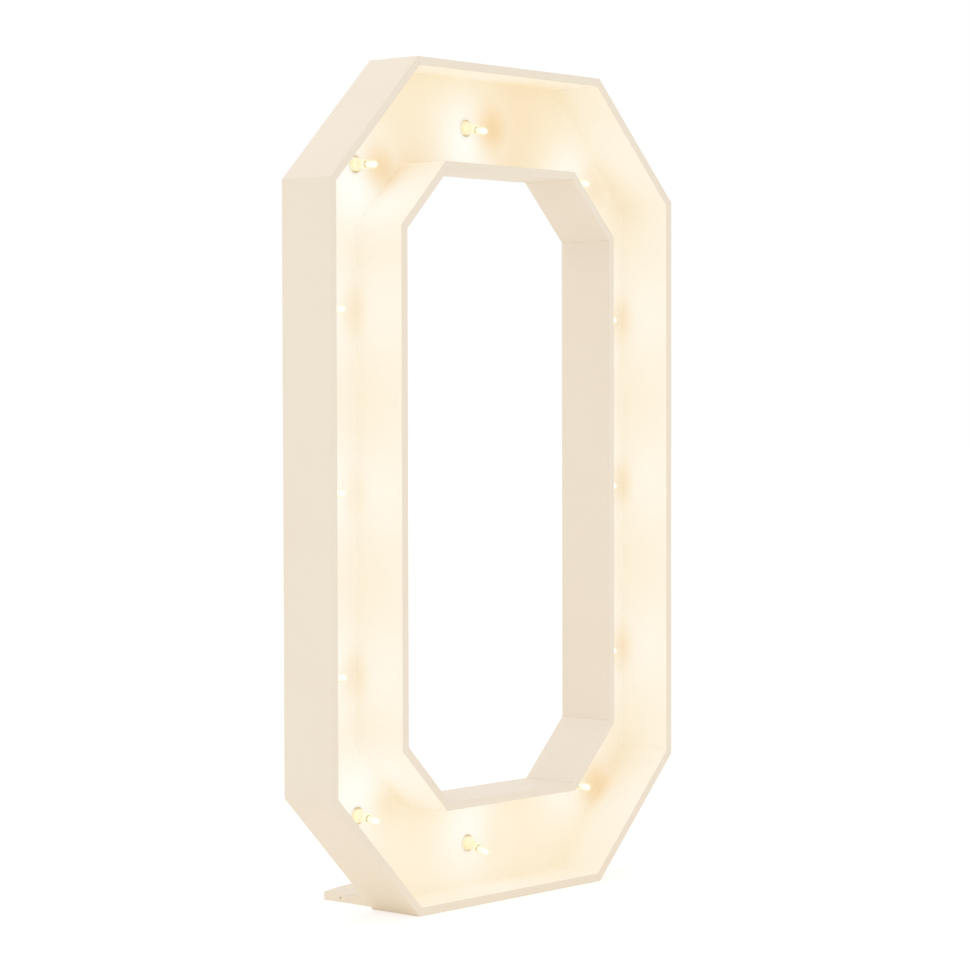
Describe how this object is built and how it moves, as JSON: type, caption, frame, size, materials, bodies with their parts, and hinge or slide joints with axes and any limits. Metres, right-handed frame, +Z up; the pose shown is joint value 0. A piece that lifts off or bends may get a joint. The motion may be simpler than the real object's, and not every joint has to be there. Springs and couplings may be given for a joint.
{
  "type": "illuminated number sign",
  "caption": "Free-standing light-up number zero: an octagonal ring of painted boards, open at the front, with screw-in bulbs in its channel and a rear foot.",
  "frame": {"origin": "on the floor, under the middle of the walls' depth, where the base board rests", "axes": "+Z up along the number's height, -Y out of the open, lit side, +X to the right seen from the lit side"},
  "size_m": [0.755, 0.23, 1.2],
  "materials": {
    "painted_wood": "satin ivory paint, brushed or rolled on boards",
    "holder_plastic": "moulded, cream",
    "ring_brass": "pale gold, polished",
    "bulb_glass": "clear glass, warm and lit",
    "cable_sheath": "smooth round sheath, white",
    "box_plastic": "fine spark texture, off-white",
    "switch_plastic": "black, semi-gloss",
    "screw_steel": "zinc plated"
  },
  "bodies": {
    "sign": {"base_board": "painted_wood", "outer_wall_bottom_right": "painted_wood", "outer_wall_right": "painted_wood", "outer_wall_top_right": "painted_wood", "outer_wall_top": "painted_wood", "outer_wall_top_left": "painted_wood", "outer_wall_left": "painted_wood", "outer_wall_bottom_left": "painted_wood", "inner_wall_bottom": "painted_wood", "inner_wall_bottom_right": "painted_wood", "inner_wall_right": "painted_wood", "inner_wall_top_right": "painted_wood", "inner_wall_top": "painted_wood", "inner_wall_top_left": "painted_wood", "inner_wall_left": "painted_wood", "inner_wall_bottom_left": "painted_wood", "back_panel": "painted_wood", "lamp_holder_top": "holder_plastic", "lamp_holder_top_right": "holder_plastic", "lamp_holder_right_upper": "holder_plastic", "lamp_holder_right_middle": "holder_plastic", "lamp_holder_right_lower": "holder_plastic", "lamp_holder_bottom_right": "holder_plastic", "lamp_holder_bottom": "holder_plastic", "lamp_holder_bottom_left": "holder_plastic", "lamp_holder_left_lower": "holder_plastic", "lamp_holder_left_middle": "holder_plastic", "lamp_holder_left_upper": "holder_plastic", "lamp_holder_top_left": "holder_plastic", "ring_nut_top": "ring_brass", "ring_nut_top_right": "ring_brass", "ring_nut_right_upper": "ring_brass", "ring_nut_right_middle": "ring_brass", "ring_nut_right_lower": "ring_brass", "ring_nut_bottom_right": "ring_brass", "ring_nut_bottom": "ring_brass", "ring_nut_bottom_left": "ring_brass", "ring_nut_left_lower": "ring_brass", "ring_nut_left_middle": "ring_brass", "ring_nut_left_upper": "ring_brass", "ring_nut_top_left": "ring_brass", "wiring_loop": "cable_sheath", "power_box": "box_plastic", "box_screw_upper": "screw_steel", "box_screw_lower": "screw_steel", "switch_frame": "switch_plastic", "dc_inlet": "switch_plastic"},
    "bulb_top": {"bulb_top": "bulb_glass"},
    "bulb_top_right": {"bulb_top_right": "bulb_glass"},
    "bulb_right_upper": {"bulb_right_upper": "bulb_glass"},
    "bulb_right_middle": {"bulb_right_middle": "bulb_glass"},
    "bulb_right_lower": {"bulb_right_lower": "bulb_glass"},
    "bulb_bottom_right": {"bulb_bottom_right": "bulb_glass"},
    "bulb_bottom": {"bulb_bottom": "bulb_glass"},
    "bulb_bottom_left": {"bulb_bottom_left": "bulb_glass"},
    "bulb_left_lower": {"bulb_left_lower": "bulb_glass"},
    "bulb_left_middle": {"bulb_left_middle": "bulb_glass"},
    "bulb_left_upper": {"bulb_left_upper": "bulb_glass"},
    "bulb_top_left": {"bulb_top_left": "bulb_glass"},
    "rocker": {"rocker": "switch_plastic"}
  },
  "joints": [
    {"name": "unscrew_top", "type": "hinge", "parent": "sign", "child": "bulb_top", "pos_m": [0, 0.0385, 1.118], "axis": [0, -0.9816, -0.1908], "range_deg": [0, 1080]},
    {"name": "unscrew_top_right", "type": "hinge", "parent": "sign", "child": "bulb_top_right", "pos_m": [0.23505, 0.0385, 1.05255], "axis": [0, -0.9903, -0.1392], "range_deg": [0, 1080]},
    {"name": "unscrew_right_upper", "type": "hinge", "parent": "sign", "child": "bulb_right_upper", "pos_m": [0.3005, 0.0385, 0.849], "axis": [0, -0.9816, -0.1908], "range_deg": [0, 1080]},
    {"name": "unscrew_right_middle", "type": "hinge", "parent": "sign", "child": "bulb_right_middle", "pos_m": [0.3005, 0.0385, 0.595], "axis": [0, -0.9877, -0.1564], "range_deg": [0, 1080]},
    {"name": "unscrew_right_lower", "type": "hinge", "parent": "sign", "child": "bulb_right_lower", "pos_m": [0.3005, 0.0385, 0.341], "axis": [0, -0.9903, -0.1392], "range_deg": [0, 1080]},
    {"name": "unscrew_bottom_right", "type": "hinge", "parent": "sign", "child": "bulb_bottom_right", "pos_m": [0.23505, 0.0385, 0.13745], "axis": [0, -0.9903, -0.1392], "range_deg": [0, 1080]},
    {"name": "unscrew_bottom", "type": "hinge", "parent": "sign", "child": "bulb_bottom", "pos_m": [0, 0.0385, 0.072], "axis": [0, -0.9511, -0.309], "range_deg": [0, 1080]},
    {"name": "unscrew_bottom_left", "type": "hinge", "parent": "sign", "child": "bulb_bottom_left", "pos_m": [-0.23505, 0.0385, 0.13745], "axis": [0, -0.9903, -0.1392], "range_deg": [0, 1080]},
    {"name": "unscrew_left_lower", "type": "hinge", "parent": "sign", "child": "bulb_left_lower", "pos_m": [-0.3005, 0.0385, 0.341], "axis": [0, -0.9986, -0.0523], "range_deg": [0, 1080]},
    {"name": "unscrew_left_middle", "type": "hinge", "parent": "sign", "child": "bulb_left_middle", "pos_m": [-0.3005, 0.0385, 0.595], "axis": [0, -0.9998, -0.0175], "range_deg": [0, 1080]},
    {"name": "unscrew_left_upper", "type": "hinge", "parent": "sign", "child": "bulb_left_upper", "pos_m": [-0.3005, 0.0385, 0.849], "axis": [0, -0.9998, -0.0175], "range_deg": [0, 1080]},
    {"name": "unscrew_top_left", "type": "hinge", "parent": "sign", "child": "bulb_top_left", "pos_m": [-0.23505, 0.0385, 1.05255], "axis": [0, -0.9986, -0.0523], "range_deg": [0, 1080]},
    {"name": "rocker_tilt", "type": "hinge", "parent": "sign", "child": "rocker", "pos_m": [0.3005, 0.0709, 0.486], "axis": [-1, 0, 0], "range_deg": [0, 24]}
  ]
}
